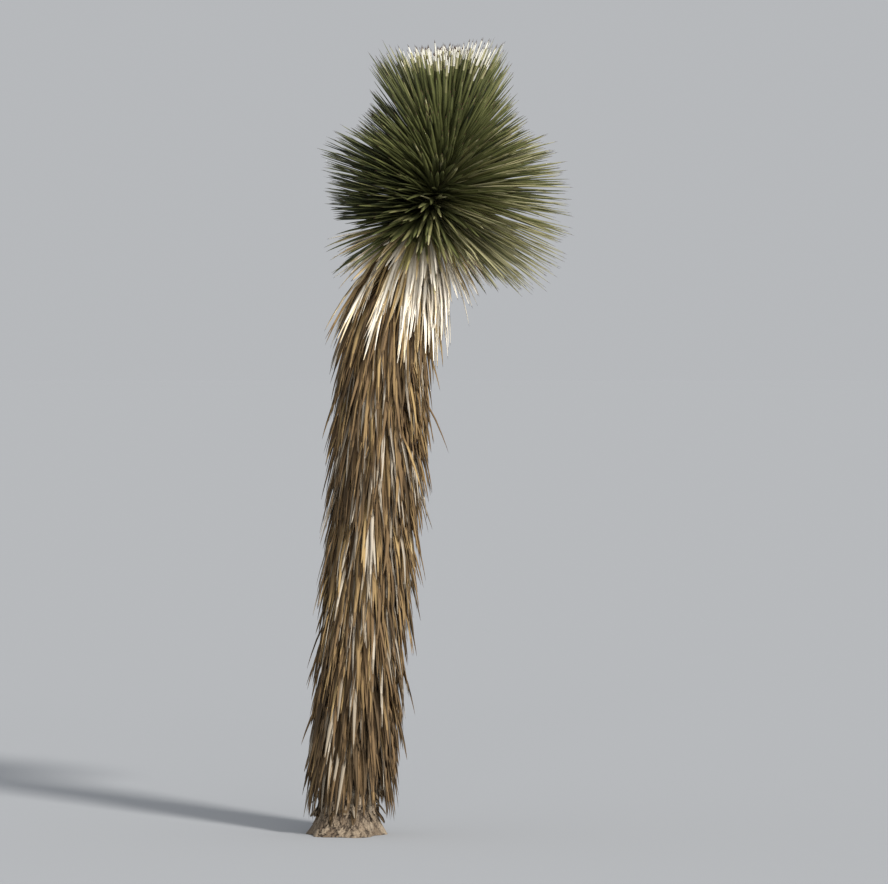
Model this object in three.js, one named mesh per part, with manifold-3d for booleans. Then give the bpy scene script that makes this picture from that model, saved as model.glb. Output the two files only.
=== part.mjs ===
// A young Joshua tree that has not branched yet: one leaning stem with a small root flare, clad in
// tiers of dead leaves that hang against it, under a single round head of stiff dagger leaves.
// Millimetres, +Z up. The origin is the middle of the flat cut at ground level. +X is the side that
// the stem leans to, and -Y is the side that faces the viewer.
import * as THREE from "three";
import { mergeVertices } from "three/addons/utils/BufferGeometryUtils.js";
import Module from "manifold-3d";

// The stem.
const TIP_HEIGHT = 2000;
const LEAN = 0.08;
const ELBOW_START = 1520;
const ELBOW_SHIFT = 130;
const BOW = 18;
const STEM_RADIUS_FOOT = 66;
const STEM_RADIUS_HEAD = 44;
const STEM_RADIUS_TIP = 30;
const FLARE = 46;
const FLARE_HEIGHT = 80;
const FLARE_LOBES = 5;
const FLARE_LOBE_DEPTH = 0.1;
const FLARE_STEPS = 6;
const SIDES = 16;
const CLEARANCE = 0.35;

// The feet of the tiers, from the head down to the thatch.
const UPPER_FOOT = 1940;
const MIDDLE_FOOT = 1880;
const LOWER_FOOT = 1820;
const FADING_FOOT = 1770;
const SKIRT_FOOT = 1640;
const THATCH_FOOT = 230;
const THATCH_TIERS = 5;
const STEPS_IN_A_TIER = 2;

// The green head. A leaf's age runs from 0, at the growing point, to 1, the oldest that is still green.
const NEWEST_HEIGHT = 2040;
const GREEN_LEAVES = 216;
const OLDEST_ANGLE = 112;
const ANGLE_POWER = 0.75;
const REACH_BY_ANGLE = [
  [0, 262],
  [20, 300],
  [29, 345],
  [43, 254],
  [58, 254],
  [71, 328],
  [86, 330],
  [104, 328],
  [114, 245],
  [125, 200],
];
const LEAN_SIDE_TILT = 4.5;
const LEAN_SIDE_REACH = 0.6;
const LEAN_SIDE_AGE = 0.5;
const GREEN_LEAF = { baseWidth: 14, width: 27, thickness: 7, bendAt: 0.58 };
const GREEN_SLEEVE = 24;
const CREST_RADIUS = 33;
const CREST_HEIGHT = 60;
const CREST_STEPS = 3;
const NEWEST_ROOT = { radius: 3, height: 30 };
const CREST_RIM_ROOT = { radius: 23, height: 12 };
const ANGLE_JITTER = 4;
const LENGTH_JITTER = 0.06;
const SAG = 0.05;
const NEWEST_UPRIGHT = 0.5;
const OLDEST_UPRIGHT = 0.1;
const FADING_UPRIGHT = 0.5;

// The dead leaves, with their angles out from the stem before and after their bend.
const FADING_LEAVES = 24;
const FADING_REACH = 245;
const FADING_ANGLES = [114, 138];
const SKIRT_LEAVES = 42;
const THATCH_LEAVES = 42;
const DEAD_LEAF = { width: 34, thickness: 8, bendAt: 0.35 };
const DEAD_UPRIGHT = 0.55;
const NEWEST_DEAD = { length: 292, rise: 19, fall: 11 };
const OLDEST_DEAD = { length: 215, rise: 17, fall: 8 };
const DEAD_LENGTH_JITTER = 0.12;
const RISE_JITTER = 2.5;
const FALL_JITTER = 4;
const THATCH_SLEEVE_TOP = 20;
const THATCH_SLEEVE_FOOT = 37;
const ROOT_DEPTH = 11;
const ROOT_MARGIN = 12;
const LOWEST_ROOT = 52;

const GOLDEN_ANGLE = 137.508;
const SEED = 4421;

const BARK = { color: 0x6b5a48, roughness: 0.95 };
const CREST_GREEN = { color: 0x66703a, roughness: 0.55 };
const UPPER_GREEN = { color: 0x4f5a31, roughness: 0.55 };
const MIDDLE_GREEN = { color: 0x434c2a, roughness: 0.55 };
const LOWER_GREEN = { color: 0x5a5a36, roughness: 0.6 };
const FADING_YELLOW = { color: 0x94876a, roughness: 0.7 };
const STRAW = { color: 0xc9b491, roughness: 0.8 };
const DEAD_BROWN = { color: 0x83705a, roughness: 0.9 };

const { clamp, degToRad, lerp, smoothstep } = THREE.MathUtils;
const wasm = await Module();
wasm.setup();

// The seeded generator behind every jitter: a 32-bit mixing of a running counter.
let counter = SEED;
function random() {
  counter = (counter + 0x6d2b79f5) | 0;
  let bits = Math.imul(counter ^ (counter >>> 15), 1 | counter);
  bits = (bits + Math.imul(bits ^ (bits >>> 7), 61 | bits)) ^ bits;
  return ((bits ^ (bits >>> 14)) >>> 0) / 4294967296;
}

const jitter = (amount) => amount * (2 * random() - 1);

// Reads [x, y] points as one line of straight pieces.
function readLine(points, x) {
  let i = 1;
  while (i < points.length - 1 && points[i][0] < x) i += 1;
  const [x0, y0] = points[i - 1];
  const [x1, y1] = points[i];
  return lerp(y0, y1, clamp((x - x0) / (x1 - x0), 0, 1));
}

// The heights of the rings that the stem and every sleeve share, so that their faces stay parallel.
function ringHeights() {
  const steps = THATCH_TIERS * STEPS_IN_A_TIER;
  const flare = Array.from({ length: FLARE_STEPS }, (_, i) => THATCH_FOOT * (i / FLARE_STEPS) ** 1.6);
  const thatch = Array.from({ length: steps }, (_, i) => lerp(THATCH_FOOT, SKIRT_FOOT, i / steps));
  const skirt = [SKIRT_FOOT, (SKIRT_FOOT + FADING_FOOT) / 2];
  return [...flare, ...thatch, ...skirt, FADING_FOOT, LOWER_FOOT, MIDDLE_FOOT, UPPER_FOOT, TIP_HEIGHT];
}

const RINGS = ringHeights();

// The stem's line: a steady lean, and an elbow that carries the head further over.
function stemPoint(height) {
  const elbow = smoothstep(height, ELBOW_START, TIP_HEIGHT);
  const bow = Math.sin((Math.PI * height) / TIP_HEIGHT);
  return new THREE.Vector3(LEAN * height + ELBOW_SHIFT * elbow, BOW * bow, height);
}

// The same line as straight pieces from ring to ring, which is what the faces follow.
function stemCentre(height) {
  let i = 1;
  while (i < RINGS.length - 1 && RINGS[i] < height) i += 1;
  const share = (height - RINGS[i - 1]) / (RINGS[i] - RINGS[i - 1]);
  return stemPoint(RINGS[i - 1]).lerp(stemPoint(RINGS[i]), share);
}

function stemRadius(height) {
  const taper = lerp(STEM_RADIUS_FOOT, STEM_RADIUS_HEAD, Math.min(height / UPPER_FOOT, 1));
  const flare = FLARE * Math.exp(-height / FLARE_HEIGHT);
  const end = clamp((height - UPPER_FOOT) / (TIP_HEIGHT - UPPER_FOOT), 0, 1);
  return lerp(taper + flare, STEM_RADIUS_TIP, end);
}

// A lathe that turns about Z, from [radius, height] pairs.
function turned(profile, sides) {
  const points = profile.map(([radius, height]) => new THREE.Vector2(radius, height));
  return new THREE.LatheGeometry(points, sides).rotateX(Math.PI / 2);
}

// Carries every vertex sideways by the stem's own offset at its height.
function followStem(geometry) {
  const place = geometry.getAttribute("position");
  for (let i = 0; i < place.count; i += 1) {
    const centre = stemCentre(place.getZ(i));
    place.setXY(i, place.getX(i) + centre.x, place.getY(i) + centre.y);
  }
  return geometry;
}

function turnFacesRound(geometry) {
  const order = geometry.index.array;
  for (let i = 0; i < order.length; i += 3) {
    [order[i + 1], order[i + 2]] = [order[i + 2], order[i + 1]];
  }
  return geometry;
}

function toSolid(geometry) {
  geometry.deleteAttribute("normal");
  geometry.deleteAttribute("uv");
  const merged = mergeVertices(geometry, 1e-3);
  const vertProperties = new Float32Array(merged.getAttribute("position").array);
  const triVerts = new Uint32Array(merged.index.array);
  const solid = new wasm.Manifold(new wasm.Mesh({ numProp: 3, vertProperties, triVerts }));
  return solid.volume() > 0 ? solid : toSolid(turnFacesRound(merged));
}

function toGeometry(solid) {
  const { vertProperties, triVerts } = solid.getMesh();
  const geometry = new THREE.BufferGeometry();
  geometry.setAttribute("position", new THREE.BufferAttribute(vertProperties, 3));
  return geometry.setIndex(new THREE.BufferAttribute(triVerts, 1));
}

// The bare stem, pushed out into root lobes near the ground.
function makeStem() {
  const outline = RINGS.map((height) => [stemRadius(height), height]);
  const geometry = turned([[0, 0], ...outline, [0, TIP_HEIGHT]], SIDES);
  const place = geometry.getAttribute("position");
  for (let i = 0; i < place.count; i += 1) {
    const turn = Math.atan2(place.getY(i), place.getX(i));
    const lobes = Math.sin(FLARE_LOBES * turn + 0.7) + 0.5 * Math.sin(3 * turn);
    const fade = 1 - clamp(place.getZ(i) / THATCH_FOOT, 0, 1);
    const swell = 1 + FLARE_LOBE_DEPTH * lobes * fade ** 2;
    place.setXY(i, place.getX(i) * swell, place.getY(i) * swell);
  }
  return toSolid(followStem(geometry));
}

// A sleeve round the stem between two rings, still upright: its thickness may change with the height.
function makeSleeve(foot, top, thicknessAt) {
  const between = RINGS.filter((height) => height > foot + 1 && height < top - 1);
  const heights = [foot + CLEARANCE, ...between, top - CLEARANCE];
  const inner = heights.map((height) => [stemRadius(height) + CLEARANCE, height]);
  const outer = heights.map((height) => [stemRadius(height) + thicknessAt(height), height]);
  return turned([...inner, ...outer.reverse(), inner[0]], SIDES);
}

// One leaf blade, three-sided: flat above and keeled below. The spine is its line from root to tip,
// side is across the blade, and widths gives its width at every point of the spine.
function makeBlade(spine, side, widths, thickness) {
  const outline = widths.map((width, level) => [width / 2, level]);
  const ends = widths[0] > 0 ? [[0, 0]] : [];
  const geometry = turned([...ends, ...outline], 3);
  const place = geometry.getAttribute("position");
  for (let i = 0; i < place.count; i += 1) {
    const level = Math.round(place.getZ(i));
    const behind = spine[Math.max(level - 1, 0)];
    const ahead = spine[Math.min(level + 1, spine.length - 1)];
    const above = ahead.clone().sub(behind).normalize().cross(side);
    const across = place.getX(i) * (2 / Math.sqrt(3));
    const proud = (place.getY(i) * thickness * 4) / (3 * (widths[level] || 1));
    const corner = spine[level].clone().addScaledVector(side, across).addScaledVector(above, proud);
    place.setXYZ(i, corner.x, corner.y, corner.z);
  }
  return toSolid(geometry);
}

// The directions of a leaf at a height: along the stem, and out and sideways at an azimuth. Upright is
// the share by which its upward direction is the sky's instead of the stem's.
function leafDirections(height, azimuth, upright) {
  const up = new THREE.Vector3(0, 0, 1);
  const along = stemPoint(height + 1).sub(stemPoint(height - 1)).normalize();
  along.lerp(up, upright).normalize();
  const right = new THREE.Vector3(1, 0, 0).projectOnPlane(along).normalize();
  const out = right.applyAxisAngle(along, degToRad(azimuth));
  return { along, out, side: along.clone().cross(out) };
}

// A point inside a sleeve, on the level ring at that height.
function rootPoint(height, radius, azimuth) {
  const root = new THREE.Vector3().setFromCylindricalCoords(radius, degToRad(azimuth), 0);
  return new THREE.Vector3(root.z, root.x, 0).add(stemCentre(height));
}

// A step from a point, at an angle from the stem's upward direction.
function stepFrom(point, { along, out }, angle, distance) {
  return point
    .clone()
    .addScaledVector(along, distance * Math.cos(degToRad(angle)))
    .addScaledVector(out, distance * Math.sin(degToRad(angle)));
}

// A stiff leaf that stands out at one angle and bends a little towards the ground.
function makeStiffLeaf(root, height, { azimuth, angle, length, upright }) {
  const directions = leafDirections(height, azimuth, upright);
  const { baseWidth, width, thickness, bendAt } = GREEN_LEAF;
  const bend = stepFrom(root, directions, angle, bendAt * length);
  const tip = stepFrom(root, directions, angle, length);
  const sag = SAG * length * Math.sin(degToRad(angle));
  bend.z -= sag * bendAt ** 2;
  tip.z -= sag;
  return makeBlade([root, bend, tip], directions.side, [baseWidth, width, 0], thickness);
}

// A dead leaf that comes out of its sleeve downwards, and hangs closer to the stem after its bend.
function makeHangingLeaf(root, height, azimuth, { length, rise, fall }) {
  const directions = leafDirections(height, azimuth, DEAD_UPRIGHT);
  const { width, thickness, bendAt } = DEAD_LEAF;
  const bend = stepFrom(root, directions, 180 - rise, bendAt * length);
  const tip = stepFrom(bend, directions, 180 - fall, (1 - bendAt) * length);
  return makeBlade([root, bend, tip], directions.side, [0, width, 0], thickness);
}

// How far a green leaf reaches. The shape of the head tilts a little to the side that the stem leans
// to. The older half of the leaves grows longer with age on that side, and shorter on the other.
function headReach(angle, azimuth, age) {
  const side = Math.cos(degToRad(azimuth));
  const reach = readLine(REACH_BY_ANGLE, angle + LEAN_SIDE_TILT * side);
  const stretch = 1 + LEAN_SIDE_REACH * Math.max(age - LEAN_SIDE_AGE, 0) * side;
  return reach * stretch * (1 + jitter(LENGTH_JITTER));
}

// Every green leaf in the order of growth, each a golden angle on from the last.
function growHead() {
  return Array.from({ length: GREEN_LEAVES }, (_, i) => {
    const age = (i + 0.5) / GREEN_LEAVES;
    const angle = OLDEST_ANGLE * age ** ANGLE_POWER + jitter(ANGLE_JITTER);
    const azimuth = (i * GOLDEN_ANGLE) % 360;
    const length = headReach(angle, azimuth, age);
    const height = lerp(NEWEST_HEIGHT, LOWER_FOOT, age);
    const upright = lerp(NEWEST_UPRIGHT, OLDEST_UPRIGHT, age);
    return { height, azimuth, angle: Math.max(angle, 0), length, upright };
  });
}

// The newest leaves, which stand on a small dome on the tip of the stem.
function makeCrest(head) {
  const outline = Array.from({ length: CREST_STEPS + 1 }, (_, i) => {
    const turn = (Math.PI / 2) * (i / CREST_STEPS);
    return [CREST_RADIUS * Math.cos(turn), CREST_HEIGHT * Math.sin(turn)];
  });
  const { x, y } = stemCentre(TIP_HEIGHT);
  const dome = turned([[0, 0], ...outline], SIDES / 2);
  const core = toSolid(dome.translate(x, y, TIP_HEIGHT + CLEARANCE));
  const newest = head.filter(({ height }) => height > TIP_HEIGHT);
  const leaves = newest.map((leaf, i) => {
    const share = i / newest.length;
    const radius = lerp(NEWEST_ROOT.radius, CREST_RIM_ROOT.radius, share);
    const root = rootPoint(TIP_HEIGHT, radius, leaf.azimuth);
    root.z += lerp(NEWEST_ROOT.height, CREST_RIM_ROOT.height, share);
    return makeStiffLeaf(root, TIP_HEIGHT, leaf);
  });
  return { core, leaves };
}

// One ring of green leaves, on its own length of sleeve.
function makeGreenRing(head, foot, top) {
  const core = toSolid(followStem(makeSleeve(foot, top, () => GREEN_SLEEVE)));
  const leaves = [];
  for (const leaf of head) {
    if (leaf.height <= foot || leaf.height > top) continue;
    const share = (leaf.height - foot) / (top - foot);
    const level = lerp(foot + ROOT_MARGIN, top - ROOT_MARGIN, share);
    const root = rootPoint(level, stemRadius(level) + GREEN_SLEEVE - ROOT_DEPTH, leaf.azimuth);
    leaves.push(makeStiffLeaf(root, level, leaf));
  }
  return { core, leaves };
}

// The oldest leaves, already yellow, which point out and down below the green head.
function makeFadingRing() {
  const core = toSolid(followStem(makeSleeve(FADING_FOOT, LOWER_FOOT, () => GREEN_SLEEVE)));
  const leaves = Array.from({ length: FADING_LEAVES }, (_, i) => {
    const share = i / (FADING_LEAVES - 1);
    const height = lerp(LOWER_FOOT - ROOT_MARGIN, FADING_FOOT + 2 * ROOT_MARGIN, share);
    const angle = lerp(...FADING_ANGLES, share) + jitter(ANGLE_JITTER);
    const azimuth = i * GOLDEN_ANGLE;
    const length = FADING_REACH * (1 + jitter(LENGTH_JITTER));
    const radius = stemRadius(height) + GREEN_SLEEVE - ROOT_DEPTH;
    const root = rootPoint(height, radius, azimuth);
    return makeStiffLeaf(root, height, { azimuth, angle, length, upright: FADING_UPRIGHT });
  });
  return { core, leaves };
}

// One tier of dead leaves, on a sleeve that widens downwards so that the tier hangs over the next.
function makeDeadTier(foot, top, count) {
  const thicknessAt = (height) =>
    lerp(THATCH_SLEEVE_FOOT, THATCH_SLEEVE_TOP, (height - foot) / (top - foot));
  const core = toSolid(followStem(makeSleeve(foot, top, thicknessAt)));
  const leaves = Array.from({ length: count }, (_, i) => {
    const height = lerp(top - ROOT_MARGIN, foot + LOWEST_ROOT, i / (count - 1));
    const weathering = (FADING_FOOT - height) / (FADING_FOOT - THATCH_FOOT);
    const grown = (name) => lerp(NEWEST_DEAD[name], OLDEST_DEAD[name], weathering);
    const leaf = {
      length: grown("length") * (1 + jitter(DEAD_LENGTH_JITTER)),
      rise: grown("rise") + jitter(RISE_JITTER),
      fall: grown("fall") + jitter(FALL_JITTER),
    };
    const radius = stemRadius(height) + thicknessAt(height) - ROOT_DEPTH;
    const root = rootPoint(height, radius, i * GOLDEN_ANGLE);
    return makeHangingLeaf(root, height, i * GOLDEN_ANGLE, leaf);
  });
  return { core, leaves };
}

// Every mass of foliage, from the top down.
function makeMasses() {
  const head = growHead();
  const masses = [{ name: "crown_crest", look: CREST_GREEN, ...makeCrest(head) }];
  const levels = [
    { name: "crown_upper", look: UPPER_GREEN, foot: UPPER_FOOT, top: TIP_HEIGHT },
    { name: "crown_middle", look: MIDDLE_GREEN, foot: MIDDLE_FOOT, top: UPPER_FOOT },
    { name: "crown_lower", look: LOWER_GREEN, foot: LOWER_FOOT, top: MIDDLE_FOOT },
  ];
  for (const { name, look, foot, top } of levels) {
    masses.push({ name, look, ...makeGreenRing(head, foot, top) });
  }
  masses.push({ name: "fading_ring", look: FADING_YELLOW, ...makeFadingRing() });
  masses.push({
    name: "straw_skirt",
    look: STRAW,
    ...makeDeadTier(SKIRT_FOOT, FADING_FOOT, SKIRT_LEAVES),
  });
  for (let i = 0; i < THATCH_TIERS; i += 1) {
    const top = lerp(SKIRT_FOOT, THATCH_FOOT, i / THATCH_TIERS);
    const foot = lerp(SKIRT_FOOT, THATCH_FOOT, (i + 1) / THATCH_TIERS);
    const tier = makeDeadTier(foot, top, THATCH_LEAVES);
    masses.push({ name: `thatch_tier_${i + 1}`, look: DEAD_BROWN, ...tier });
  }
  return masses;
}

const tree = new THREE.Group();

function addNode(name, solid, look) {
  const material = new THREE.MeshStandardMaterial({ ...look, metalness: 0 });
  const mesh = new THREE.Mesh(toGeometry(solid), material);
  mesh.name = name;
  tree.add(mesh);
}

// The stem stays whole. Each mass keeps the leaves that stay clear of the stem and every other mass.
const stem = makeStem();
addNode("trunk", stem, BARK);
const masses = makeMasses();
const space = new Map([["trunk", stem], ...masses.map(({ name, core }) => [name, core])]);
for (const { name, look, core, leaves } of masses) {
  const others = [...space].filter(([other]) => other !== name).map(([, solid]) => solid);
  const clear = leaves.filter((leaf) => others.every((other) => leaf.minGap(other, 1) >= CLEARANCE));
  const mass = wasm.Manifold.union([core, ...clear]);
  space.set(name, mass);
  addNode(name, mass, look);
}

export default tree;
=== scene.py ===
"""Dresses the young Joshua tree: every leaf of its head, skirt and thatch, its corky foot and a studio.

All lengths are in metres. The plant stands on the origin, +Z is up, +X is the side that it leans to
and the camera looks along +Y.
"""

from __future__ import annotations

import logging
import math
from dataclasses import dataclass, replace
from enum import Enum

import bpy
import numpy as np
from bpy.types import ID, Material, Mesh, Node, NodeTree, Object
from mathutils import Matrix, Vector


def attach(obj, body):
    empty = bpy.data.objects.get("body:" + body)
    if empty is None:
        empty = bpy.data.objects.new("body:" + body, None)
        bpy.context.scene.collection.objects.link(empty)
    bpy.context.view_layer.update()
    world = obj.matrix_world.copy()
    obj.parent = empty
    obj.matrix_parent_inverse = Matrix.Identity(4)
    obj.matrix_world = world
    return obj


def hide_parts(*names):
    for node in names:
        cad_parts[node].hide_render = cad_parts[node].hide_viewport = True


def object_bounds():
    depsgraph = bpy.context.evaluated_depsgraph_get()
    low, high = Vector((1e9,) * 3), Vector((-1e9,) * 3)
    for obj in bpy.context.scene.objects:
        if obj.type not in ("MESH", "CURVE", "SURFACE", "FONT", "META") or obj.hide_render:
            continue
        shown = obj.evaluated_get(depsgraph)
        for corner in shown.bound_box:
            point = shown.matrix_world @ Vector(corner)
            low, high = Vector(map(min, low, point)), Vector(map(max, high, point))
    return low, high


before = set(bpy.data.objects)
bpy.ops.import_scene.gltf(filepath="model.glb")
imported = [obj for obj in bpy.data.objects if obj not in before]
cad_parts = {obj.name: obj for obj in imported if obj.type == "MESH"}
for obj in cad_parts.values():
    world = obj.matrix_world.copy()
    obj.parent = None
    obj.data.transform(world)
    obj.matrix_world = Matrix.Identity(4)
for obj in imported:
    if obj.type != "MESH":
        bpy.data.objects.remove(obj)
CAD_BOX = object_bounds()

Array = np.ndarray
Rng = np.random.Generator
Row = tuple[float, ...]
Span = tuple[float, float]

LOG = logging.getLogger("joshua_tree")
BODY = "root"
MM = 0.001
GOLDEN_ANGLE = math.radians(137.508)
ROOT_SUNK = 3 * MM
THATCH_TOP, THATCH_FOOT = 1.77, 0.23
SKIRT_BUNCHES = 10
ZONE_SPREAD = 0.4
SEED = 4421

# What scatters the plates of the bark, from the numbers of their squares.
HASH_ACROSS, HASH_UP, HASH_SCALE = 127.1, 311.7, 4375.85
HASH_SHIFTS = (0.0, 2.4, 5.1)

# The sockets by which a Mix node takes two colours and gives their mixture.
MIX_FIRST, MIX_SECOND, MIX_RESULT = 6, 7, 2


# Colour and nodes

def linear_colour(hex_code: str) -> tuple[float, float, float, float]:
    """Turns six hex digits of sRGB into Blender's linear red, green and blue, with an alpha of one."""
    parts = [int(hex_code[i:i + 2], 16) / 255 for i in (0, 2, 4)]
    return (*(p / 12.92 if p <= 0.04045 else ((p + 0.055) / 1.055) ** 2.4 for p in parts), 1.0)


def add_node(tree: NodeTree, kind: str, settings: dict, links: dict | None = None) -> Node:
    """Adds a shader node, sets it up and links its inputs.

    Args:
        tree: the node tree that it goes into.
        kind: the node's type name after ShaderNode, such as "Bump".
        settings: values by input name or index, or by the node's own property name.
        links: the output sockets that feed its inputs, by input name or index.

    Returns:
        The new node.
    """
    node = tree.nodes.new("ShaderNode" + kind)
    for name, value in settings.items():
        if isinstance(name, str) and hasattr(node, name):
            setattr(node, name, value)
        else:
            node.inputs[name].default_value = value
    for name, source in (links or {}).items():
        tree.links.new(source, node.inputs[name])
    return node


def new_material(name: str, settings: dict) -> tuple[Material, NodeTree, Node]:
    """Makes a material that holds only a Principled shader.

    Args:
        name: the material's name.
        settings: values of the shader's inputs, by name.

    Returns:
        The material, its node tree and its shader.
    """
    material = bpy.data.materials.new(name)
    material.use_nodes = True
    shader = material.node_tree.nodes["Principled BSDF"]
    for socket, value in settings.items():
        shader.inputs[socket].default_value = value
    return material, material.node_tree, shader


# The roughness of green leaves, and of dead ones and bleached tips.
WAXY, DULL = 0.5, 0.82


@dataclass(frozen=True)
class LeafFinish:
    """The skin of a yucca leaf: long fibres under a cuticle that is waxy when green and dull when dead.

    The colour is plain, because tones are dealt out leaf by leaf. Fibres raise fine ridges along the
    blade, which break up its shine. They are drawn coarser than real ones, so that they show.
    """

    colour: str
    roughness: float = DULL
    roughness_swing: float = 0.08
    fibre_across: float = 2.2 * MM
    fibre_along: float = 70 * MM
    ridge: float = 0.35 * MM

    def material(self, name: str) -> Material:
        """Makes the leaf material, with ridges that follow the UV map named blade.

        Args:
            name: the material's name.

        Returns:
            The material, whose roughness and bump both come from the fibres.
        """
        settings = {"Base Color": linear_colour(self.colour), "IOR": 1.45}
        material, tree, shader = new_material(name, settings)
        uv = add_node(tree, "UVMap", {"uv_map": "blade"}).outputs[0]
        scale = (1 / self.fibre_across, 1 / self.fibre_along, 1)
        stretched = add_node(tree, "Mapping", {"Scale": scale}, {"Vector": uv}).outputs[0]
        noise = {"Scale": 1.0, "Detail": 2.0, "Roughness": 0.6}
        fibres = add_node(tree, "TexNoise", noise, {"Vector": stretched}).outputs["Fac"]
        low, high = self.roughness - self.roughness_swing, self.roughness + self.roughness_swing
        shine = add_node(
            tree, "MapRange", {"From Min": 0.3, "From Max": 0.7, "To Min": low, "To Max": high},
            {"Value": fibres},
        )
        bump = add_node(tree, "Bump", {"Strength": 0.7, "Distance": self.ridge}, {"Height": fibres})
        tree.links.new(shine.outputs[0], shader.inputs["Roughness"])
        tree.links.new(bump.outputs[0], shader.inputs["Normal"])
        return material


class Tone(Enum):
    """The tones of the plant's leaves, from the shaded green of the head to bleached straw."""

    DEEP_GREEN = LeafFinish("2f351f", WAXY)
    DARK_OLIVE = LeafFinish("444828", WAXY)
    OLIVE = LeafFinish("535732", WAXY)
    MOSS = LeafFinish("63673e", WAXY)
    SAGE = LeafFinish("807f55", WAXY)
    PALE_SAGE = LeafFinish("a8a47e", WAXY)
    # Near-white of the bud and of pale leaf tips; on the crest's tips it is also a painted highlight.
    PALE_TIP = LeafFinish("e3e1d6")
    YELLOWED = LeafFinish("a59c66")
    DARK_BROWN = LeafFinish("53422b")
    BROWN = LeafFinish("6f593c")
    WARM_BROWN = LeafFinish("89714c")
    TAN = LeafFinish("a38a5e")
    STRAW = LeafFinish("c3ad83")
    CREAM = LeafFinish("e0d0b0")
    PALE_CREAM = LeafFinish("f8f0e0")
    GREY_BROWN = LeafFinish("736654")
    GREY = LeafFinish("938877")
    SILVER = LeafFinish("b3a999")
    SPINE = LeafFinish("4a3626")

    def material(self) -> Material:
        """Gives the tone's material, which is made once and shared."""
        name = "leaf_" + self.name.lower()
        return bpy.data.materials.get(name) or self.value.material(name)


TONES = list(Tone)
GREENS = (Tone.DEEP_GREEN, Tone.DARK_OLIVE, Tone.OLIVE, Tone.MOSS, Tone.SAGE, Tone.PALE_SAGE)
# The greens with the near-white that the crest's tips reach, partly a painted highlight.
GREENS_AND_TIP_HIGHLIGHT = (*GREENS, Tone.PALE_TIP)
FADING = (Tone.DARK_OLIVE, Tone.OLIVE, Tone.MOSS, Tone.YELLOWED, Tone.STRAW, Tone.CREAM, Tone.PALE_CREAM)
BROWNS = (Tone.DARK_BROWN, Tone.BROWN, Tone.WARM_BROWN, Tone.TAN, Tone.STRAW, Tone.CREAM, Tone.PALE_CREAM)
GREYS = (Tone.DARK_BROWN, Tone.GREY_BROWN, Tone.GREY, Tone.SILVER)


def deal_tones(
    rng: Rng, ladder: tuple[Tone, ...], middle: Array, spread: float, drift: Row | Array,
) -> Array:
    """Deals each leaf a start on a ladder of tones, and lets its zones drift from there.

    Args:
        rng: the seeded generator.
        ladder: the tones from dark to pale.
        middle: each leaf's usual rung.
        spread: how far the start varies, in rungs.
        drift: how many rungs each zone but the spine lies above the start, for all or leaf by leaf.

    Returns:
        The number of each zone's tone in TONES, one row a leaf.
    """
    start = middle + rng.normal(0, spread, len(middle))
    drifted = start[:, None] + np.array(drift)
    rungs = drifted + rng.uniform(-ZONE_SPREAD, ZONE_SPREAD, drifted.shape)
    numbers = np.array([TONES.index(tone) for tone in ladder])
    dealt = numbers[np.clip(np.round(rungs), 0, len(ladder) - 1).astype(int)]
    return np.concatenate([dealt, np.full((len(middle), 1), TONES.index(Tone.SPINE))], axis=1)


@dataclass(frozen=True)
class CorkyBark:
    """Weathered cork with deep fissures, as on a yucca stem whose leaves have dropped.

    The plates are grey-brown, each a little paler or darker than the next. The fissures and the fine
    cracks are darkened as painted shade. The mesh's attribute relief is 0 in a fissure and 1 on a
    plate, less in a crack, and its attribute plate is a number of each plate's own. Fine grain roughens the
    cork.
    """

    dark_plate: str = "6b5c4b"
    pale_plate: str = "a1927e"
    # Painted shade: the dark colour that fills the fissures.
    fissure_shade: str = "2c221a"
    grain: float = 3 * MM
    grain_height: float = 1.5 * MM
    mottling: float = 1.4

    def material(self) -> Material:
        """Makes the bark material from the two attributes and noise on Object coordinates.

        Returns:
            The material: plates between their two tones by number and grain, darker towards a fissure with
                painted shade.
        """
        material, tree, shader = new_material("corky_bark", {"Roughness": 0.95})
        where = add_node(tree, "TexCoord", {}).outputs["Object"]
        relief = add_node(tree, "Attribute", {"attribute_name": "relief"}).outputs["Fac"]
        plate = add_node(tree, "Attribute", {"attribute_name": "plate"}).outputs["Fac"]
        noise = {"Scale": 1 / self.grain, "Detail": 4.0}
        grain = add_node(tree, "TexNoise", noise, {"Vector": where}).outputs["Fac"]
        swing = {"operation": "MULTIPLY_ADD", 1: self.mottling, 2: -self.mottling / 2}
        mottle = add_node(tree, "Math", swing, {0: grain}).outputs[0]
        add = {"operation": "ADD", "use_clamp": True}
        shade = add_node(tree, "Math", add, {0: plate, 1: mottle}).outputs[0]
        dark, pale = linear_colour(self.dark_plate), linear_colour(self.pale_plate)
        tones = {"data_type": "RGBA", MIX_FIRST: dark, MIX_SECOND: pale}
        plates = add_node(tree, "Mix", tones, {0: shade}).outputs[MIX_RESULT]
        # Painted shade: the colour darkens into the fissures and cracks by the relief attribute.
        fissures = {"data_type": "RGBA", MIX_FIRST: linear_colour(self.fissure_shade)}
        colour = add_node(tree, "Mix", fissures, {0: relief, MIX_SECOND: plates}).outputs[MIX_RESULT]
        height = {"Strength": 0.9, "Distance": self.grain_height}
        bump = add_node(tree, "Bump", height, {"Height": grain})
        tree.links.new(colour, shader.inputs["Base Color"])
        tree.links.new(bump.outputs[0], shader.inputs["Normal"])
        return material


# Sums that several parts share

def unit(vectors: Array) -> Array:
    """Scales vectors to a length of one."""
    return vectors / np.linalg.norm(vectors, axis=-1, keepdims=True)


def between(first: float | Array, last: float | Array, share: Array) -> Array:
    """Gives the values at a share of the way from the first to the last."""
    return first + (last - first) * share


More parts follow.
